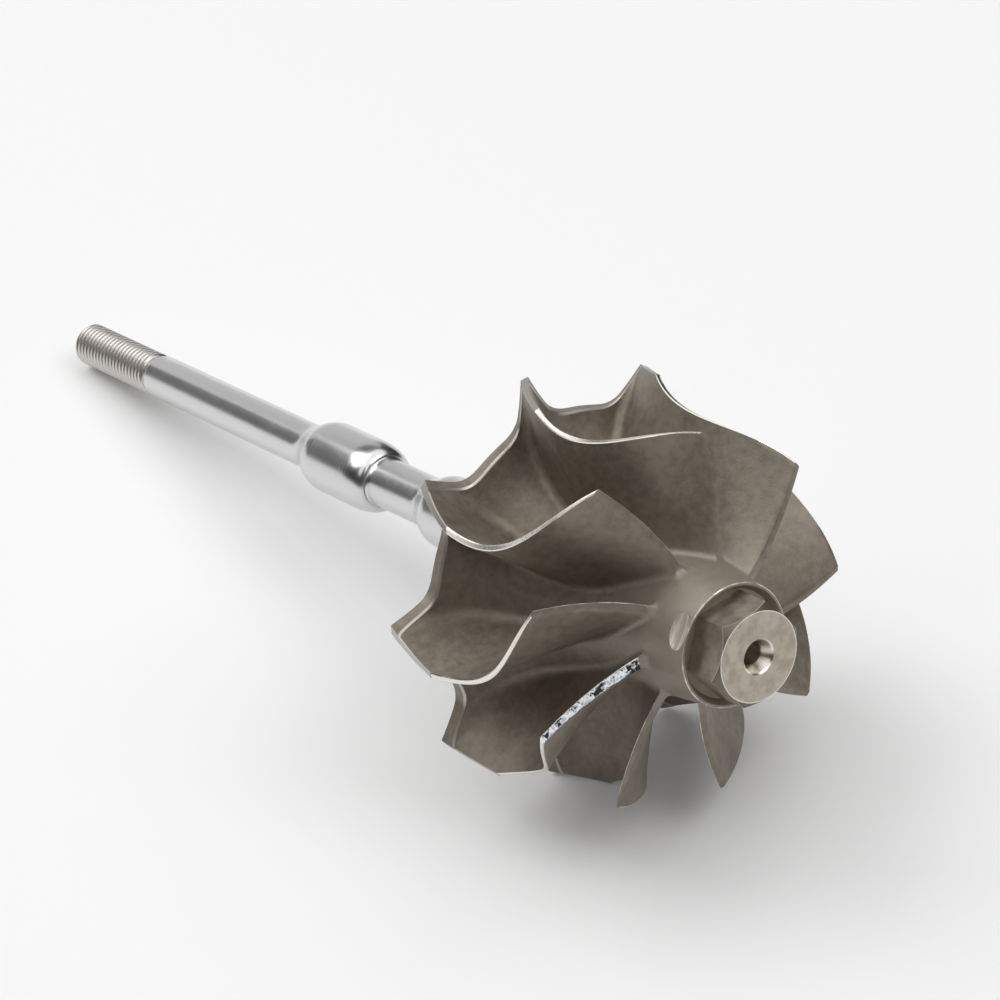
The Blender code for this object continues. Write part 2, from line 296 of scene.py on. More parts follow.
def cast_skin():
    material, place = finish("cast_skin", 0.55, 0.5)
    broad = noise(place, 0.009, detail=4)
    mottle = noise(place, 0.0012, detail=5, roughness=0.6)
    grain = noise(place, 0.00022, detail=3, roughness=0.6)
    tone = (broad * 0.5 + mottle * 0.5).between(0.34, 0.66)
    stained = tone.mix(GAS_BROWN, BLASTED_ALLOY)
    x, y, z = split(on_axis(place))
    # Painted light, with cleaner metal: the hub round the nose is made paler, as if more brightly
    # lit.
    nose_pale_and_lit_mask = (1 - from_axis(x, y).between(0.0085, 0.0135)) * z.between(-0.006, 0.001)
    colour = (nose_pale_and_lit_mask * 0.6).mix(stained, NOSE_PALE_AND_LIT)
    height = grain * 0.6 + mottle * 0.4
    feed(
        material,
        Base_Color=colour,
        Roughness=0.42 + 0.16 * mottle,
        Normal=bump(height, 0.00006),
    )
    return material


CAST = cast_skin()
print("finish:", CAST.name)

# %% [markdown]
# ## Ground edges
# The blade tips are ground to fit the housing, and that leaves bright bare metal with fine marks
# that run round the axis. The same finish, a little duller, sits on the leading edges. The marks
# are noise squeezed along the axis, which follows any edge, where a drawn pattern would not.

# %% Ground edges
def ground_edge(name, colour, roughness):
    """Bare metal with fine grinding marks round the axis."""
    material, place = finish(name, 1.0, roughness, colour)
    marks = noise(stretched(on_axis(place), 0.0006, 0.0006, 0.00006), 1.0, detail=2)
    feed(material, Roughness=roughness + 0.12 * marks, Normal=bump(marks, 0.000004))
    return material


TIP_GROUND = ground_edge("tip_ground", (0.80, 0.77, 0.72, 1), 0.22)
EDGE_GROUND = ground_edge("edge_ground", (0.50, 0.47, 0.43, 1), 0.36)
print("finishes:", TIP_GROUND.name, EDGE_GROUND.name)

# %% [markdown]
# ## Worn corners with a painted highlight, the balance spot and torn metal
# Handling rubs the casting's corners bright here and there, and the same bright corners are also a
# painted highlight along the edges. A grinder took a little metal off the hub to balance the wheel,
# and left a dull spot with streaks. One blade has lost the thin part of its edge: bare metal shows
# there, torn into bright facets with dark pits between them. Each of the three is a finish of its
# own on a few faces, which keeps its border sharp.

# %% Worn corners with a painted highlight, and the balance spot
CORNER_DULL, CORNER_WEAR_AND_HIGHLIGHT = (0.40, 0.36, 0.30, 1), (0.88, 0.83, 0.75, 1)
SPOT_DULL, SPOT_BRIGHT = (0.46, 0.41, 0.35, 1), (0.76, 0.70, 0.62, 1)


def worn_edge_and_highlight():
    """The cast skin's corners, worn bright here and there, with a painted highlight along them."""
    material, place = finish("worn_edge_and_highlight", 0.35, 0.4)
    # Painted highlight and wear: bright corners, broken up here and there by noise.
    wear_and_highlight_mask = noise(place, 0.0016, detail=3).between(0.38, 0.62)
    feed(material, Base_Color=wear_and_highlight_mask.mix(CORNER_DULL, CORNER_WEAR_AND_HIGHLIGHT))
    return material


def balance_ground():
    """A dull flat spot with a grinder's streaks round the hub."""
    material, place = finish("balance_ground", 0.6, 0.6)
    streak_place = stretched(on_axis(place), 0.004, 0.004, 0.0004)
    streaks = noise(streak_place, 1.0, detail=3).between(0.35, 0.65)
    feed(material, Base_Color=streaks.mix(SPOT_DULL, SPOT_BRIGHT), Normal=bump(streaks, 0.00003))
    return material


EDGE_WEAR_AND_HIGHLIGHT = worn_edge_and_highlight()
BALANCE_GROUND = balance_ground()
print("finishes:", EDGE_WEAR_AND_HIGHLIGHT.name, BALANCE_GROUND.name)

# %% Torn edge
TORN_DULL = (0.42, 0.45, 0.48, 1)
TORN_BRIGHT = (0.82, 0.85, 0.88, 1)
PIT_BLACK = (0.05, 0.05, 0.05, 1)
FACET_SIZE = 0.0005


def broken_edge():
    """Bare torn metal: bright facets, with dark jagged pits between them."""
    material, place = finish("broken_edge", 1.0, 0.3)
    inputs = {"Vector": place, "Scale": 1 / FACET_SIZE, "Randomness": 1.0}
    facets = place.node("TexVoronoi", inputs)
    torn_metal = facets.between(0.1, 0.7).mix(TORN_DULL, TORN_BRIGHT)
    pit_place = stretched(on_axis(place), 0.0017, 0.0017, 0.0006)
    torn = noise(pit_place, 1.0, detail=4, roughness=0.7)
    pit = torn.between(0.51, 0.55)
    feed(
        material,
        Base_Color=pit.mix(torn_metal, PIT_BLACK),
        Roughness=0.22 + 0.3 * pit,
        Normal=bump(facets * 0.5 + torn * 0.8 - pit, 0.0002),
    )
    return material


BROKEN = broken_edge()
print("finish:", BROKEN.name)

# %% [markdown]
# ## The curves of the wheel
# Three curves shape the whole wheel: the hub's curve from the disc's rim to the outlet, the
# shroud's curve along the blade tips, and the sweep, which is the angle by which a blade leans at
# each height. They are the curves of the CAD model, worked out here for whole lists of points.

# %% Curves
BLADES = 9
PITCH = 2 * math.pi / BLADES
INLET_RADIUS, DISC_BACK_Z = 0.02786, -0.02481
OUTLET_RADIUS = 0.02466
DISC_RIM = 0.0013
HUB_RADIUS, HUB_Z = 0.00888, 0.00296
HUB_POWER = 2.6
SCALLOP_RADIUS = 0.02175
SCALLOP_HALF_ANGLE = math.radians(19.3)
SCALLOP_POWER = 4.6
SHROUD_CURVE = (
    (-0.01686, INLET_RADIUS),
    (-0.00791, 0.02304),
    (-0.00358, 0.02497),
    (0, OUTLET_RADIUS),
)
SWEEP_CURVE = ((DISC_BACK_Z, 0.0), (-0.00967, 20.5), (-0.0063, 6.5), (HUB_Z, -31.0))
SWEEP_SAMPLES = 400


def bezier(points, t):
    """Places on a cubic Bezier curve, one for each t."""
    p0, p1, p2, p3 = (np.array(point)[:, None] for point in points)
    s = 1 - t
    return s**3 * p0 + 3 * s * s * t * p1 + 3 * s * t * t * p2 + t**3 * p3


sweep_heights, sweep_degrees = bezier(SWEEP_CURVE, np.linspace(0, 1, SWEEP_SAMPLES))


def sweep(z):
    """The angle by which a blade leans at a height."""
    return np.radians(np.interp(z, sweep_heights, sweep_degrees))


def sweep_slope(z):
    """How fast the sweep turns there, in radians for each metre."""
    step = 0.0001
    return (sweep(z + step) - sweep(z - step)) / (2 * step)


def hub(t):
    """The hub's radius and height from the rim (t = 0) to the outlet (t = 1)."""
    angle = np.clip(t, 0, 1) * math.pi / 2
    z = HUB_Z - (HUB_Z - DISC_BACK_Z - DISC_RIM) * np.cos(angle) ** (2 / HUB_POWER)
    radius = INLET_RADIUS - (INLET_RADIUS - HUB_RADIUS) * np.sin(angle) ** (2 / HUB_POWER)
    return radius, z


def scallop(angle):
    """The disc's outline at an angle from a blade's middle: a horn, then a round pocket."""
    share = (angle - PITCH / 2) / SCALLOP_HALF_ANGLE
    rise = np.clip(np.abs(share), 0, 1) ** SCALLOP_POWER
    return SCALLOP_RADIUS + (INLET_RADIUS - SCALLOP_RADIUS) * rise


print("sweep at the outlet tip:", round(math.degrees(float(sweep(0.0))), 1), "degrees")

# %% [markdown]
# ## One passage between two blades
# A casting has no seams: the blade's wall runs through a soft fillet into the hub's floor and up
# the next blade. A Boolean joint would leave a hard line there, and a bevel on that line breaks up.
# So one passage is a single sheet. A plain grid is added, and a rule places its points: columns
# run from the middle of one blade's tip, over its edge, down its wall, across the floor and up the
# next wall, and rows run from the inlet to the outlet. Pairs of sizes belong to those two ends.

# %% Thickness and fillets of a blade
TIP_THICKNESS = (0.00080, 0.00058)
ROOT_THICKNESS = (0.00215, 0.00150)
SLIM_RIM, SLIM_REACH = 0.88, 0.0035
FATNESS_POWER = 1.5
THINNED, WHOLE = 0.5, 1.0
THINNING_LENGTH = 0.2
EDGE_CHAMFER = 0.00014
RIM_CHAMFER = 0.00025
RIM_FILLET = 0.0007
INLET_FILLET = 0.0016
OUTLET_FILLET = 0.0009
FILLET_REACH = 0.005


def soft_step(share):
    """A share from 0 to 1 with a soft start and end."""
    share = np.clip(share, 0, 1)
    return share * share * (3 - 2 * share)


def blend(pair, share):
    """A value between two others, with a soft start and end."""
    return pair[0] + (pair[1] - pair[0]) * soft_step(share)


def half_width(t, height, length, radius, z):
    """Half of a blade's thickness, measured round the axis: thin at the tip, stout at the hub."""
    slim = 1 - SLIM_RIM * np.exp(-(INLET_RADIUS - radius) / SLIM_REACH)
    fatness = np.clip(1 - height / length, 0, 1) ** FATNESS_POWER
    tip = blend(TIP_THICKNESS, t)
    thickness = tip + (blend(ROOT_THICKNESS, t) - tip) * fatness * slim
    return thickness / 2 * np.sqrt(1 + (radius * sweep_slope(z)) ** 2)


def thinned(t, kept):
    """The share of its half width that a wall has, where it keeps only a part at the outlet."""
    near_outlet = (t - (1 - THINNING_LENGTH)) / THINNING_LENGTH
    return 1 - (1 - kept) * soft_step(near_outlet)


def fillet_radius(t, hub_radius):
    """The root fillet is small at the rim, grows inwards, and is smaller again at the outlet."""
    inner = blend((INLET_FILLET, OUTLET_FILLET), t)
    return RIM_FILLET + (inner - RIM_FILLET) * soft_step((INLET_RADIUS - hub_radius) / FILLET_REACH)


print("blade tips:", [round(size * 1000, 2) for size in TIP_THICKNESS], "mm thick")

# %% One point of a passage
WALL_COLUMNS = 26
FILLET_COLUMNS = 7
FLOOR_COLUMNS = 9
WALL_START = 2
FILLET_START = WALL_START + WALL_COLUMNS
FLOOR_START = FILLET_START + FILLET_COLUMNS
MIDDLE = FLOOR_START + FLOOR_COLUMNS
PASSAGE_COLUMNS = 2 * MIDDLE + 1
PASSAGE_ROWS = 60


def passage_point(column, t, kept=WHOLE):
    """Radius, angle and height of a point of the passage, and how far up its fillet it is."""
    hub_radius, hub_z = hub(t)
    tip_z, tip_radius = bezier(SHROUD_CURVE, t)
    length = np.hypot(tip_radius - hub_radius, tip_z - hub_z)
    fillet = fillet_radius(t, hub_radius)
    up_wall = np.clip((FILLET_START - column) / WALL_COLUMNS, 0, 1)
    down_fillet = np.clip((FLOOR_START - column) / FILLET_COLUMNS, 0, 1) * math.pi / 2
    height = fillet * (1 - np.cos(down_fillet)) + (length - EDGE_CHAMFER - fillet) * up_wall
    height = np.where(column < WALL_START, length, height)
    radius = hub_radius + (tip_radius - hub_radius) * height / length
    z = hub_z + (tip_z - hub_z) * height / length
    wall = half_width(t, height, length, radius, z) * thinned(t, kept)
    aside = wall + fillet * (1 - np.sin(down_fillet))
    aside = np.where(column == 1, aside - EDGE_CHAMFER, aside)
    angle = np.where(column == 0, 0.0, aside / radius)
    on_floor = np.clip((column - FLOOR_START) / FLOOR_COLUMNS, 0, 1)
    angle = angle + (PITCH / 2 - angle) * on_floor
    up = np.where(up_wall > 0, 1, down_fillet / (math.pi / 2))
    return radius, angle, z, up


# %% Rule for a passage
SEARCH_END, SEARCH_STEPS = 0.6, 40
CROWDING = 1.25


def passage_start(column):
    """The t at which each column starts, where it meets the scalloped rim, found by halving."""
    low = np.zeros_like(column, dtype=float)
    high = np.full_like(low, SEARCH_END)
    for _ in range(SEARCH_STEPS):
        t = (low + high) / 2
        radius, angle, _, up = passage_point(column, t)
        outline = scallop(angle) - RIM_CHAMFER
        edge = outline + (INLET_RADIUS - EDGE_CHAMFER - outline) * up**2
        outside = radius > edge
        low = np.where(outside, t, low)
        high = np.where(outside, high, t)
    return np.where(column <= 1, 0.0, high)


def polar(radius, angle, z):
    """Points from their distance, angle and height on the axis."""
    return np.stack((radius * np.cos(angle), radius * np.sin(angle), z), axis=1)


def passage_rule(column, row, kept):
    """Places on the passage; only the first wall, which faces the nose, is thinned."""
    mirrored = column > MIDDLE
    counted = np.where(mirrored, 2 * MIDDLE - column, column).astype(float)
    share = row / (PASSAGE_ROWS - 1)
    share = share**CROWDING / (share**CROWDING + (1 - share) ** CROWDING)
    start = passage_start(counted)
    t = start + (1 - start) * share
    radius, angle, z, _ = passage_point(counted, t, np.where(mirrored, WHOLE, kept))
    angle = np.where(mirrored, PITCH - angle, angle)
    return polar(radius, angle + sweep(z), z)


# %% Grids that follow a rule
RULES = {}


def place_points(sheet, columns, rows, rule, kept=THINNED):
    """Put each point of a grid where its rule says."""
    number = np.arange(columns * rows)
    places = rule(number % columns, number // columns, kept)
    sheet.data.vertices.foreach_set("co", places.ravel())


def ruled_grid(name, columns, rows, rule, material):
    """Add a grid whose points follow a rule, and remember the rule."""
    start_clean()
    bpy.ops.mesh.primitive_grid_add(x_subdivisions=columns - 1, y_subdivisions=rows - 1, size=1)
    sheet = bpy.context.object
    sheet.name = name
    RULES[name] = (columns, rows, rule)
    place_points(sheet, *RULES[name])
    sheet.data.materials.append(material)
    return sheet


def second_finish(sheet, columns, material, chosen):
    """Give another finish to the faces whose column and row are chosen."""
    sheet.data.materials.append(material)
    for number, face in enumerate(sheet.data.polygons):
        if chosen(number % (columns - 1), number // (columns - 1)):
            face.material_index = 1


def on_tip(column, row):
    """Whether a face of the passage lies on a blade's tip or on the chamfer beside it."""
    return column < WALL_START or column >= PASSAGE_COLUMNS - 1 - WALL_START


passage = ruled_grid("passage", PASSAGE_COLUMNS, PASSAGE_ROWS, passage_rule, CAST)
second_finish(passage, PASSAGE_COLUMNS, TIP_GROUND, on_tip)
print("passage:", len(passage.data.polygons), "faces")

# %% [markdown]
# ## The blade's two end strips
# At the inlet and at the outlet the two walls of one blade are closed by a narrow strip across its
# thickness. The inlet strip is ground flat, so it gets the duller ground finish. The outlet strip
# keeps the cast skin, and its corner away from the nose is worn bright with a painted highlight.
# A strip's points repeat those of the walls beside it, so that the sheets weld together without a
# gap.

# %% End strips
STRIP_ROWS = FILLET_START
STRIP_COLUMNS = 5
STRIP_MIDDLE = 2
STRIP_LIFT = 0.6


def strip_rule(at_outlet):
    """Rule for the strip that closes a blade at its inlet or at its outlet."""

    def rule(column, row, kept):
        counted = (row + 1).astype(float)
        start = passage_start(counted)
        t = np.ones_like(start) if at_outlet else start
        front = np.where(column > STRIP_MIDDLE, kept, WHOLE)
        radius, angle, z, _ = passage_point(counted, t, front)
        side = np.sign(column - STRIP_MIDDLE)
        inner = np.abs(column - STRIP_MIDDLE) < 2
        chamfer = np.where(counted > 1, EDGE_CHAMFER, 0.0)
        angle = np.where(inner, angle - chamfer / radius, angle) * side
        if at_outlet:
            z = np.where(inner, z + chamfer * STRIP_LIFT, z)
        else:
            radius = np.where(inner, INLET_RADIUS, radius)
        return polar(radius, angle + sweep(z), z)

    return rule


strip_size = (STRIP_COLUMNS, STRIP_ROWS)
inlet_strip = ruled_grid("inlet_strip", *strip_size, strip_rule(False), EDGE_GROUND)
outlet_strip = ruled_grid("outlet_strip", *strip_size, strip_rule(True), CAST)
# The outlet strip's corner away from the nose gets wear and a painted highlight.
second_finish(outlet_strip, STRIP_COLUMNS, EDGE_WEAR_AND_HIGHLIGHT, lambda column, row: column == 0)
print("end strips:", len(inlet_strip.data.polygons), "faces each")

# %% [markdown]
# ## The rim and the back of the disc
# Below the passage the disc goes on as a rim about a millimetre thick. Its edge leans with the
# blades, and its corners are lightly broken. Behind it lies the flat back, with the raised boss
# where the shaft is welded on. Both are one sheet that goes down from the passage's first row.

# %% One pitch of a ring
RING_COLUMNS = STRIP_COLUMNS + PASSAGE_COLUMNS - 2 * FILLET_START


def ring_base(at_outlet, kept):
    """Radius, angle and height of the passage's edge round one pitch, at the inlet or outlet.

    The first columns go across the blade's foot, and the others along the passage's floor.
    """
    across = np.arange(STRIP_COLUMNS)
    along = np.arange(FILLET_START, PASSAGE_COLUMNS - FILLET_START)
    foot = np.full(across.shape, FILLET_START, float)
    counted = np.concatenate((foot, np.where(along > MIDDLE, 2 * MIDDLE - along, along)))
    start = passage_start(counted)
    t = np.ones_like(start) if at_outlet else start
    front = np.concatenate((across > STRIP_MIDDLE, along <= MIDDLE))
    radius, angle, z, _ = passage_point(counted, t, np.where(front, kept, WHOLE))
    side = np.concatenate((np.sign(across - STRIP_MIDDLE), np.ones(along.shape)))
    inner = np.concatenate((np.abs(across - STRIP_MIDDLE) < 2, np.zeros(along.shape, bool)))
    angle = np.where(inner, angle - EDGE_CHAMFER / radius, angle) * side
    mirrored = np.concatenate((np.zeros(across.shape, bool), along > MIDDLE))
    angle = np.where(mirrored, PITCH - angle, angle)
    if at_outlet:
        z = np.where(inner, z + EDGE_CHAMFER * STRIP_LIFT, z)
    else:
        radius = np.where(inner, INLET_RADIUS, radius)
    return radius, angle, z, inner


print("ring:", RING_COLUMNS, "columns for one pitch")

# %% Rule for the rim and back
BACK_BOSS_FOOT = 0.0145
BACK_BOSS_RADIUS = 0.0105
BACK_BOSS_Z = -0.0286
BOSS_RADII = np.array((BACK_BOSS_RADIUS, BACK_BOSS_RADIUS * 0.75, 0.0))
RIM_ROWS = 7
FLAT_ROWS = 4
DISC_ROWS = 1 + RIM_ROWS + FLAT_ROWS + len(BOSS_RADII)


def rim_rule(column, row, kept):
    """Row 0 is the passage's edge; then come the rim's side, the flat back and the boss."""
    radius, angle, z, inner = (values[column] for values in ring_base(False, kept))
    wide = np.minimum(radius + RIM_CHAMFER, INLET_RADIUS)
    down = np.clip((row - 1) / (RIM_ROWS - 1), 0, 1)
    low_z = DISC_BACK_Z + RIM_CHAMFER
    top_z = np.where(inner, z, z - RIM_CHAMFER)
    side_z = top_z + (low_z - top_z) * down
    inward = np.clip((row - RIM_ROWS) / FLAT_ROWS, 0, 1)
    flat_radius = wide - RIM_CHAMFER
    flat_radius = flat_radius + (BACK_BOSS_FOOT - flat_radius) * inward
    boss_row = row - RIM_ROWS - FLAT_ROWS - 1
    boss_radius = BOSS_RADII[np.clip(boss_row, 0, len(BOSS_RADII) - 1)]
    back_radius = np.where(boss_row < 0, flat_radius, boss_radius)
    back_z = np.where(boss_row < 0, DISC_BACK_Z, BACK_BOSS_Z)
    radius = np.where(row == 0, radius, np.where(row <= RIM_ROWS, wide, back_radius))
    z = np.where(row == 0, z, np.where(row <= RIM_ROWS, side_z, back_z))
    lean = sweep(np.where(row <= RIM_ROWS, z, DISC_BACK_Z))
    return polar(radius, angle + lean, z)


def on_ground_rim(column, row):
    """Whether a face lies under a blade's inlet edge or on the rim's upper corner."""
    return row < RIM_ROWS and (column < STRIP_COLUMNS - 1 or row == 0)


rim = ruled_grid("rim", RING_COLUMNS, DISC_ROWS, rim_rule, CAST)
second_finish(rim, RING_COLUMNS, EDGE_GROUND, on_ground_rim)
print("rim and back:", len(rim.data.polygons), "faces for one pitch")

# %% [markdown]
# ## The hub in front of the blades
# Past the blades' trailing edges the hub runs on as a slim cone to a thin rim, and inside that rim
# a groove is turned round the hexagon's foot. The thin rim's outer corner is worn bright, with a
# painted highlight along it. The sheet starts at the passage's last row, where the blades' fillets
# fade out in a quarter circle.

# %% Rule for the nose
NOSE_RIM_RADIUS = 0.00813
NOSE_RIM_Z = 0.00974
NOSE_GROOVE_DEPTH = 0.0011
NOSE_GROOVE_OUTER = 0.00763
NOSE_NECK_RADIUS = 0.0056
LIP = 0.00012
CONE_ROWS = 12
CONE_CROWDING, CONE_POWER = 1.6, 1.1


def nose_profile():
    """Radii and heights of the rows, down the cone, over the lip and into the groove."""
    run = np.linspace(0, 1, CONE_ROWS) ** CONE_CROWDING
    heights = HUB_Z + (NOSE_RIM_Z - LIP - HUB_Z) * run
    radii = HUB_RADIUS + (NOSE_RIM_RADIUS - HUB_RADIUS) * run**CONE_POWER
    floor_z = NOSE_RIM_Z - NOSE_GROOVE_DEPTH
    neck_z = span("nose_hex")[1] + LIP
    groove = (
        (NOSE_RIM_RADIUS - LIP, NOSE_RIM_Z),
        (NOSE_GROOVE_OUTER + LIP, NOSE_RIM_Z),
        (NOSE_GROOVE_OUTER, NOSE_RIM_Z - LIP),
        (NOSE_GROOVE_OUTER - NOSE_GROOVE_DEPTH / 2, floor_z + LIP),
        (NOSE_GROOVE_OUTER - NOSE_GROOVE_DEPTH, floor_z),
        (NOSE_NECK_RADIUS, floor_z),
        (NOSE_NECK_RADIUS, neck_z),
        (0.0, neck_z),
    )
    return np.concatenate((np.stack((radii, heights), axis=1), groove)).T


nose_radii, nose_heights = nose_profile()


def quarter_circle(away):
    """The other side of a quarter circle as large as the outlet's fillet."""
    left = np.clip(OUTLET_FILLET**2 - (OUTLET_FILLET - away) ** 2, 0, None)
    return OUTLET_FILLET - np.sqrt(left)


def nose_rule(column, row, kept):
    """Places on the nose; a fillet's height fades as its distance from the blade grows."""
    base_radius, angle, base_z, _ = (values[column] for values in ring_base(True, kept))
    forward = nose_heights[row] - HUB_Z
    beside = quarter_circle(np.hypot(base_radius - HUB_RADIUS, base_z - HUB_Z))
    height = quarter_circle(np.clip(np.hypot(beside, forward), 0, OUTLET_FILLET))
    lean = math.hypot(OUTLET_RADIUS - HUB_RADIUS, HUB_Z)
    radius = nose_radii[row] + height * (OUTLET_RADIUS - HUB_RADIUS) / lean
    z = nose_heights[row] - height * HUB_Z / lean
    radius = np.where(row == 0, base_radius, radius)
    z = np.where(row == 0, base_z, z)
    lead = np.where(row == 0, sweep(z), sweep(np.minimum(z, HUB_Z)))
    return polar(radius, angle + lead, z)


nose = ruled_grid("nose", RING_COLUMNS, len(nose_radii), nose_rule, CAST)
# The thin rim's outer corner gets wear and a painted highlight.
second_finish(nose, RING_COLUMNS, EDGE_WEAR_AND_HIGHLIGHT, lambda column, row: row == CONE_ROWS - 1)
print("nose:", len(nose.data.polygons), "faces for one pitch")

# %% [markdown]
# ## Nine pitches make the wheel
# The five sheets of one pitch share their edges. They are copied round the axis nine times, each
# copy with its own mesh, then joined and welded into one closed casting. One blade has lost the
# thin part of its edge, so its points are placed again with whole walls, and its outlet strip gets
# the torn metal.

# %% Copy round the axis
BROKEN_BLADE = 7
sheets = [passage, inlet_strip, outlet_strip, rim, nose]
copies = []
for pitch in range(BLADES):
    choose(*sheets)
    bpy.ops.object.duplicate(linked=False)
    for sheet in bpy.context.selected_objects:
        sheet.matrix_world = Matrix.Rotation(-pitch * PITCH, 4, "Z")
        kind = sheet.name.split(".")[0]
        if pitch + 1 == BROKEN_BLADE:
            place_points(sheet, *RULES[kind], kept=WHOLE)
            if kind == "outlet_strip":
                sheet.data.materials[0] = BROKEN
        copies.append(sheet)
for sheet in sheets:
    bpy.data.objects.remove(sheet)
choose(*copies)
bpy.ops.object.transform_apply(location=True, rotation=True, scale=True)
wheel = join(copies, "turbine_wheel")
weld(wheel, DOUBLE)
sides = {}
for face in wheel.data.polygons:
    for edge in face.edge_keys:
        sides[edge] = sides.get(edge, 0) + 1
open_edges = sum(count != 2 for count in sides.values())
print("wheel:", len(wheel.data.polygons), "faces, open edges:", open_edges)

# %% [markdown]
# ## The balance oval
# The wheel was balanced by grinding a shallow oval off the hub, between two blades. An ellipsoid
# stands in for the grinder, and leaves its own finish on the metal.

# %% Grind the balance oval
OVAL_ANGLE = math.radians(53.2)
OVAL_Z = 0.0085
OVAL_MIDDLE_RADIUS = 0.00875
OVAL_HALF_SIZES = (0.0010, 0.00423, 0.00155)
start_clean()
bpy.ops.mesh.primitive_uv_sphere_add(segments=64, ring_count=32, radius=1)
grinder = bpy.context.object
grinder.data.materials.append(BALANCE_GROUND)
grinder.matrix_world = (
    Matrix.Rotation(OVAL_ANGLE, 4, "Z")
    @ Matrix.Translation((OVAL_MIDDLE_RADIUS, 0, OVAL_Z))
    @ Matrix.Diagonal((*OVAL_HALF_SIZES, 1))
)
cut(wheel, grinder, keep_finish=True)
print("wheel with its balance oval:", len(wheel.data.polygons), "faces")
lay_down(
    wheel,
    "wheel_casting",
    "scalloped_disc",
    "wheel_hub",
    *[f"blade_{number + 1}" for number in range(BLADES)],
)

# %% [markdown]
# ## Turning on the lathe
# The shaft, the hexagon's chamfer and the drill are round. A circle is added at the first place of
# a profile, then extruded and resized from place to place, as a lathe tool would go along it. The
# two end faces come from the filled circle, so the bar is closed.

# %% Turned bars
def turned_bar(name, profile, steps, material=None):
    """A closed bar on the axis through a list of (radius, height) places."""
    start_clean()
    radius, z = profile[0]
    bpy.ops.mesh.primitive_circle_add(
        vertices=steps, radius=radius, fill_type="NGON", location=(0, 0, z)
    )
    bar = bpy.context.object
    bar.name = name
    bpy.ops.object.transform_apply(location=True, rotation=True, scale=True)
    bpy.ops.object.mode_set(mode="EDIT")
    bpy.ops.mesh.select_all(action="SELECT")
    for next_radius, next_z in profile[1:]:
        ratio = next_radius / radius
        bpy.ops.mesh.extrude_region_move(TRANSFORM_OT_translate={"value": (0, 0, next_z - z)})
        bpy.ops.transform.resize(value=(ratio, ratio, 1))
        radius, z = next_radius, next_z
    bpy.ops.object.mode_set(mode="OBJECT")
    if material:
        bar.data.materials.append(material)
    weld(bar, HAIR)
    return bar


def rounded(corners, steps=6):
    """A profile through corners, each given as radius, height and how far its rounding reaches."""
    points = [Vector(corner[:2]) for corner in corners]
    places = [points[0]]
    for before, corner, after, (_, _, reach) in zip(points, points[1:], points[2:], corners[1:]):
        start = corner + min(reach, (before - corner).length / 2) * (before - corner).normalized()
        end = corner + min(reach, (after - corner).length / 2) * (after - corner).normalized()
        for step in range(steps + 1):
            share = step / steps
            places.append(start.lerp(corner, share).lerp(corner.lerp(end, share), share))
    return [tuple(place) for place in places + [points[-1]]]


# %% [markdown]
# ## Machined finishes
# Turning and grinding leave fine rings round the axis. The noise that makes them is squeezed along
# the axis and left long around it, so it reads the place upright on the axis. The hexagon is
# milled from the same casting and keeps a duller, warmer metal. Its sides end at a turned chamfer
# in a curved corner, which is painted dark as painted shade. The bright line there, partly wear and
# partly a painted highlight, is a mask that measures how far a point is from the chamfer's cone.

# %% Steel and milled alloy
MILLED_DARK = (0.38, 0.33, 0.27, 1)
MILLED_PALE = (0.52, 0.465, 0.395, 1)
CHAMFER_WEAR_AND_HIGHLIGHT = (0.86, 0.81, 0.73, 1)


def turned_steel(name, colour, roughness, ring, depth):
    """Polished steel with fine rings of this width and depth round the axis."""
    material, place = finish(name, 1.0, roughness, colour)
    axis_place = on_axis(place)
    rings = noise(stretched(axis_place, 0.03, 0.03, ring), 1.0, detail=3, roughness=0.7)
    smudge = noise(place, 0.004, detail=3)
    feed(
        material,
        Roughness=roughness - 0.05 + 0.1 * smudge + 0.1 * rings,
        Normal=bump(rings, depth),
    )
    return material


def milled_alloy(face_z, flat, corner, chamfer):
    """Milled metal, worn bright with a painted highlight where it meets a hexagon's chamfer."""
    material, place = finish("milled_alloy", 0.9, 0.38)
    x, y, z = split(on_axis(place))
    cone_radius = (face_z - z) * ((corner - flat) / chamfer) + flat
    # Painted highlight and wear: a bright line where the face meets the chamfer's cone.
    wear_and_highlight_mask = 1 - (cone_radius - from_axis(x, y)).between(0.00005, 0.00016)
    mottle = noise(place, 0.0016, detail=4)
    marks = noise(stretched(on_axis(place), 0.00008, 0.0016, 0.0016), 1.0, detail=2)
    tone = (mottle * 0.8 + marks * 0.2).between(0.35, 0.65)
    colour = tone.mix(MILLED_DARK, MILLED_PALE)
    feed(
        material,
        Base_Color=wear_and_highlight_mask.mix(colour, CHAMFER_WEAR_AND_HIGHLIGHT),
        Roughness=0.32 + 0.14 * mottle,
        Normal=bump(marks * 0.3, 0.00003),
    )
    return material


GROUND = turned_steel("ground_steel", (0.66, 0.66, 0.66, 1), 0.2, 0.00012, 0.000003)
THREADED = turned_steel("threaded_steel", (0.60, 0.57, 0.54, 1), 0.28, 0.00008, 0.000004)
# Painted shade: the turned chamfer gets a dark colour that bare turned metal does not have.
TURNED_PAINTED_SHADE = ground_edge("turned_chamfer_painted_shade", (0.19, 0.165, 0.135, 1), 0.45)
BORED, _ = finish("bored_wall", 1.0, 0.28, (0.74, 0.69, 0.62, 1))
print("finishes:", GROUND.name, THREADED.name, TURNED_PAINTED_SHADE.name, BORED.name)

# %% [markdown]
# ## The hexagonal nose
# A spanner grips the hexagon while the compressor wheel is clamped at the other end. A six sided
# cylinder is cut by a turned shape, which breaks only the corners of its face, and then a centre
# drill makes the hole: a cone of sixty degrees, and a narrow pilot hole behind it. Booleans follow
# the real cuts here, where a bevel would break all the edges of the face alike.

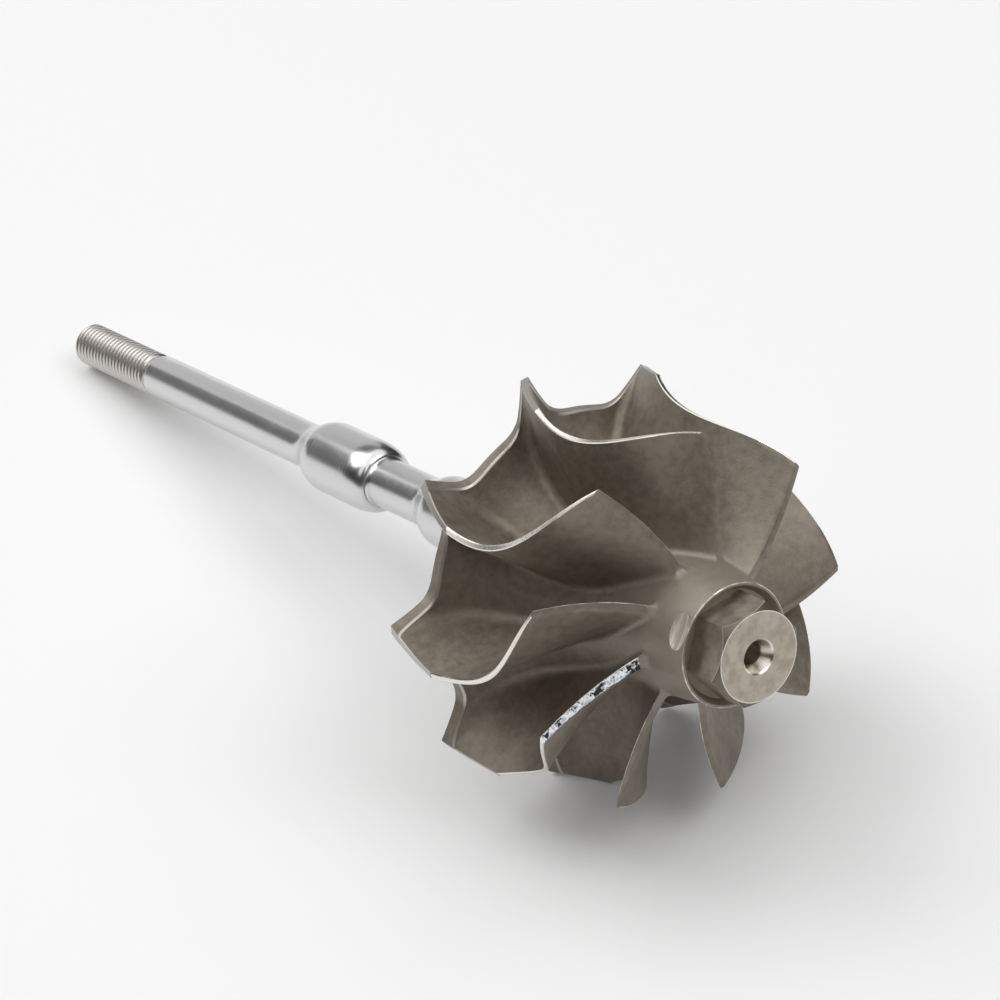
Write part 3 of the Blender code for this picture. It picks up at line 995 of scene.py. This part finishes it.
# %% Hexagon
HEX_ACROSS_FLATS = 0.0119
HEX_CORNER_ANGLE = math.radians(32.7)
HEX_CHAMFER = 0.0009
SPARE = 0.001
BEYOND = 0.0005
CUTTER_STEPS = 128
hex_face_z = span("nose_hex")[2]
hex_foot_z = NOSE_RIM_Z - NOSE_GROOVE_DEPTH
hex_flat = HEX_ACROSS_FLATS / 2
hex_corner = hex_flat / math.cos(math.pi / 6)
start_clean()
bpy.ops.mesh.primitive_cylinder_add(
    vertices=6,
    radius=hex_corner,
    depth=hex_face_z - hex_foot_z,
    location=(0, 0, (hex_face_z + hex_foot_z) / 2),
    rotation=(0, 0, HEX_CORNER_ANGLE - math.pi / 2),
)
hexagon = bpy.context.object
hexagon.name = "nose_hexagon"
bpy.ops.object.transform_apply(location=True, rotation=True, scale=True)
hexagon.data.materials.append(milled_alloy(hex_face_z, hex_flat, hex_corner, HEX_CHAMFER))
slope = (hex_corner - hex_flat) / HEX_CHAMFER
corner_cutter = turned_bar(
    "corner_cutter",
    [
        (hex_corner + SPARE, hex_foot_z - BEYOND),
        (hex_corner + SPARE, hex_face_z - HEX_CHAMFER - SPARE / slope),
        (hex_flat - BEYOND * slope, hex_face_z + BEYOND),
    ],
    CUTTER_STEPS,
    TURNED_PAINTED_SHADE,
)
cut(hexagon, corner_cutter, "INTERSECT", keep_finish=True)
print("hexagon with its corners broken:", len(hexagon.data.polygons), "faces")

# %% Drill the centre
HOLE_RADIUS = 0.00217
HOLE_DEPTH = 0.0055
HOLE_BEVEL = 0.0002
CONE_SIDE = math.radians(60)
PILOT_RADIUS = 0.00145
PILOT_POINT = 0.0006
PILOT_TIP_RADIUS = 0.00001
DRILL_STEPS = 64
cone_z = hex_face_z - HOLE_BEVEL - (HOLE_RADIUS - PILOT_RADIUS) * math.tan(CONE_SIDE)
drill = turned_bar(
    "centre_drill",
    [
        (HOLE_RADIUS + HOLE_BEVEL + BEYOND, hex_face_z + BEYOND),
        (HOLE_RADIUS, hex_face_z - HOLE_BEVEL),
        (PILOT_RADIUS, cone_z),
        (PILOT_RADIUS, hex_face_z - HOLE_DEPTH + PILOT_POINT),
        (PILOT_TIP_RADIUS, hex_face_z - HOLE_DEPTH),
    ],
    DRILL_STEPS,
    BORED,
)
cut(hexagon, drill, keep_finish=True)
lay_down(hexagon, "wheel_casting", "nose_hex", smooth=11)

# %% [markdown]
# ## The steel shaft
# The shaft is one bar, ground all over. From the wheel it has the weld shoulder with the groove
# for the sealing ring, two bearing journals with a waist between them, and the slim stub that
# carries the compressor wheel. A journal tapers down away from the wheel, and the outer one ends
# in a ball-like shoulder towards it. Radii and ends come from the CAD nodes, and each corner of the
# profile is given with the reach of its rounding, which a bevel could not vary from edge to edge.

# %% Sizes of the shaft
RING_GROOVE_Z = -0.0335
RING_GROOVE_WIDTH = 0.0017
RING_GROOVE_RADIUS = 0.0068
TURBINE_JOURNAL_TAPER = 0.0033
COMPRESSOR_JOURNAL_TAPER = 0.0041
SHOULDER_CORNERS = ((0.0, 0.0), (0.3, 0.00002), (0.72, 0.0008), (1.0, 0.003))
SHOULDER_ROUNDING = 0.001
BREAK = 0.00015
SEAT = 0.0001
END_SHARE = 0.7
SHAFT_STEPS = 96
seal_radius, seal_end, _ = span("seal_boss")
journal_radius, turbine_end, _ = span("turbine_journal")
waist_radius, waist_end, _ = span("shaft_waist")
_, compressor_end, _ = span("compressor_journal")
stub_radius, stub_end, _ = span("stub_shaft")
groove_top = RING_GROOVE_Z + RING_GROOVE_WIDTH / 2
groove_foot = RING_GROOVE_Z - RING_GROOVE_WIDTH / 2
for part, radius in (("journal", journal_radius), ("waist", waist_radius), ("stub", stub_radius)):
    print(part, round(2000 * float(radius), 2), "mm across")

# %% Turn the shaft
shaft_corners = [
    (seal_radius * END_SHARE, BACK_BOSS_Z - SEAT, 0),
    (seal_radius, BACK_BOSS_Z - SEAT, BREAK),
    (seal_radius, groove_top, BREAK),
    (RING_GROOVE_RADIUS, groove_top, BREAK),
    (RING_GROOVE_RADIUS, groove_foot, BREAK),
    (seal_radius, groove_foot, BREAK),
    (seal_radius, seal_end, 0.0006),
    (journal_radius, seal_end, 0.0006),
    (journal_radius, turbine_end + TURBINE_JOURNAL_TAPER, 0.0012),
    (waist_radius, turbine_end, 0.0009),
]
step = journal_radius - waist_radius
for share, back in SHOULDER_CORNERS:
    shaft_corners.append((waist_radius + share * step, waist_end - back, SHOULDER_ROUNDING))
shaft_corners += [
    (journal_radius, compressor_end + COMPRESSOR_JOURNAL_TAPER, 0.0014),
    (stub_radius, compressor_end, 0.0014),
    (stub_radius, stub_end, 0.0004),
    (stub_radius * END_SHARE, stub_end, 0),
]
shaft = turned_bar("steel_shaft", rounded(shaft_corners), SHAFT_STEPS, GROUND)
lay_down(
    shaft,
    "shaft_steel",
    "seal_boss",
    "turbine_journal",
    "shaft_waist",
    "compressor_journal",
    "stub_shaft",
    smooth=28,
)

# %% [markdown]
# ## The thread
# One tooth of the thread is drawn as a short open line and turned round the axis by the Screw
# modifier, which also climbs one pitch on each turn. Its open ends are drawn in to the axis, and a
# chamfered blank then cuts it to length, as the die runs over the bar's broken end. Rings would be
# simpler, but a thread seen from the side climbs, and its crest runs out at the chamfer.

# %% Screw the tooth round the axis
THREAD_PITCH = 0.000907
THREAD_DEPTH = 0.0003
THREAD_STEPS = 48
SPARE_TURNS = 4
crest, thread_end, thread_top = span("threaded_end")
root = crest - THREAD_DEPTH
start_clean()
bpy.ops.mesh.primitive_grid_add(x_subdivisions=5, y_subdivisions=1, size=1)
thread = bpy.context.object
thread.name = "shaft_thread"
tooth = [(root, 0.0), (root, 0.06), (crest, 0.24), (crest, 0.76), (root, 0.94), (root, 1.0)]
for number, vertex in enumerate(thread.data.vertices):
    radius, share = tooth[number % len(tooth)]
    vertex.co = (radius, 0, thread_end + (share - SPARE_TURNS / 2) * THREAD_PITCH)
weld(thread, HAIR)
choose(thread)
screw = thread.modifiers.new("screw", "SCREW")
screw.axis = "Z"
screw.screw_offset = THREAD_PITCH
screw.iterations = math.ceil((thread_top - thread_end) / THREAD_PITCH) + SPARE_TURNS
screw.steps = screw.render_steps = THREAD_STEPS
screw.use_merge_vertices = True
screw.merge_threshold = SLIVER
bpy.ops.object.modifier_apply(modifier="screw")
weld(thread, SLIVER)
print("thread:", len(thread.data.polygons), "faces before it is cut to length")


# %% Close the thread's ends
END_PUSH = 0.003


def close_end(piece, low_z, high_z, push):
    """Draw an open end's loop, found between two heights, out to a point on the axis."""
    choose(piece)
    bpy.ops.object.mode_set(mode="EDIT")
    bpy.ops.mesh.select_mode(type="EDGE")
    bpy.ops.mesh.select_all(action="DESELECT")
    bpy.ops.mesh.select_non_manifold(use_wire=False, use_multi_face=False, use_non_contiguous=False)
    bpy.ops.object.mode_set(mode="OBJECT")
    points = piece.data.vertices
    for edge in piece.data.edges:
        middle = (points[edge.vertices[0]].co.z + points[edge.vertices[1]].co.z) / 2
        if edge.select and not low_z < middle < high_z:
            edge.select = False
    for vertex in points:
        vertex.select = False
    for edge in piece.data.edges:
        if edge.select:
            points[edge.vertices[0]].select = True
            points[edge.vertices[1]].select = True
    bpy.ops.object.mode_set(mode="EDIT")
    bpy.ops.mesh.extrude_edges_move(TRANSFORM_OT_translate={"value": (0, 0, push)})
    bpy.ops.transform.resize(value=(0, 0, 0))
    bpy.ops.object.mode_set(mode="OBJECT")
    weld(piece, HAIR)


thread_middle = (thread_end + thread_top) / 2
close_end(thread, -1, thread_middle, -END_PUSH)
close_end(thread, thread_middle, 1, END_PUSH)
print("thread closed:", len(thread.data.polygons), "faces")

# %% Cut the thread to length
THREAD_CHAMFER = 0.0006
RELIEF_LENGTH = 0.0009
CREST_SPARE, ROOT_SPARE = 0.00002, 0.00004
NECK_OVERLAP = 0.0003
neck_top = thread_top + NECK_OVERLAP
blank = turned_bar(
    "thread_blank",
    [
        (crest - THREAD_CHAMFER, thread_end),
        (crest + CREST_SPARE, thread_end + THREAD_CHAMFER),
        (crest + CREST_SPARE, neck_top - RELIEF_LENGTH - THREAD_DEPTH),
        (root + ROOT_SPARE, neck_top - RELIEF_LENGTH),
        (root + ROOT_SPARE, neck_top),
    ],
    SHAFT_STEPS,
)
cut(thread, blank, "INTERSECT")
thread.data.materials.append(THREADED)
lay_down(thread, "thread_steel", "threaded_end", smooth=40)

# %% [markdown]
# ## Table and camera
# The rotor lies on a plain pale table, which shines a little of its own, so that the shadows stay
# soft. The camera stands where the photographer stood, with a long lens, and is turned a little
# about its own axis.

# %% Table
TABLE_SHINE = 0.09
start_clean()
bpy.ops.mesh.primitive_grid_add(x_subdivisions=8, y_subdivisions=8, size=4)
table = bpy.context.object
table.name = "table"
table_finish, _ = finish(
    "table_paper",
    0.0,
    0.8,
    (0.8, 0.8, 0.8, 1),
    Specular_IOR_Level=0.0,
    Emission_Color=(1, 1, 1, 1),
    Emission_Strength=TABLE_SHINE,
)
table.data.materials.append(table_finish)
print("table:", len(table.data.polygons), "faces")

# %% Camera
AZIMUTH = math.radians(-33.93)
ELEVATION = math.radians(36.39)
ROLL = math.radians(-6.48)
DISTANCE = 0.537
TARGET = Vector((-0.01128, -0.0429, 0.04467))
LENS_MM, SENSOR_MM = 154.8, 36
camera_data = bpy.data.cameras.new("camera")
camera_data.lens = LENS_MM
camera_data.sensor_width = SENSOR_MM
camera = bpy.data.objects.new("camera", camera_data)
bpy.context.scene.collection.objects.link(camera)
across_view = Vector((math.cos(AZIMUTH), math.sin(AZIMUTH), 0))
level = math.cos(ELEVATION)
camera_way = Vector((math.sin(AZIMUTH) * level, -math.cos(AZIMUTH) * level, math.sin(ELEVATION)))
camera_up = camera_way.cross(across_view)
right = math.cos(ROLL) * across_view + math.sin(ROLL) * camera_up
up = camera_way.cross(right)
camera_turn = Matrix((right, up, camera_way)).transposed().to_4x4()
camera.matrix_world = Matrix.Translation(TARGET + DISTANCE * camera_way) @ camera_turn
bpy.context.scene.camera = camera
print("camera at", [round(value, 4) for value in camera.matrix_world.translation])

# %% [markdown]
# ## Light
# A large softbox hangs over the rotor and smaller ones stand round it, so the shadows fall softly
# under the wheel. Polished steel is only as bright as what it mirrors, and the shaft mirrors a
# narrow fan of directions low behind it. Two walls stand there, a white one and a dim one, and draw
# the light and dark bands along the shaft.

# %% Lights
LIGHT_TARGET = Vector((0, -0.03, 0.02))
WHITE = (1.0, 1.0, 1.0, 1)
ROOM_LIGHT = 0.03


def softbox(name, bearing, height, width, power, shape=1.0, distance=1.2):
    """A light at a bearing and a height in degrees, aimed at the rotor, of this width and power."""
    turn, rise = math.radians(bearing), math.radians(height)
    level = math.cos(rise)
    way = Vector((level * math.cos(turn), level * math.sin(turn), math.sin(rise)))
    start_clean()
    bpy.ops.object.light_add(type="AREA", location=LIGHT_TARGET + distance * way)
    lamp = bpy.context.object
    lamp.name = name
    lamp.data.shape = "RECTANGLE"
    lamp.data.size = width
    lamp.data.size_y = width * shape
    lamp.data.energy = power
    lamp.rotation_euler = way.to_track_quat("Z", "Y").to_euler()


softbox("softbox_above", 0, 80, 1.8, 12.3)
softbox("softbox_camera_right", 293, 50, 0.6, 3.2)
softbox("softbox_left", 115, 50, 0.8, 5.6)
softbox("softbox_camera_left", 180, 50, 0.7, 1.6)
softbox("softbox_camera", 240, 45, 0.35, 0.6)
softbox("white_wall", 70, 14, 2.0, 4.9, shape=0.6, distance=2.2)
softbox("dim_wall", 113, 14, 1.0, 0.4, distance=2.2)
world = bpy.data.worlds.new("room")
world.use_nodes = True
background = world.node_tree.nodes["Background"]
background.inputs["Color"].default_value = WHITE
background.inputs["Strength"].default_value = ROOM_LIGHT
bpy.context.scene.world = world
bpy.context.scene.view_settings.view_transform = "Standard"
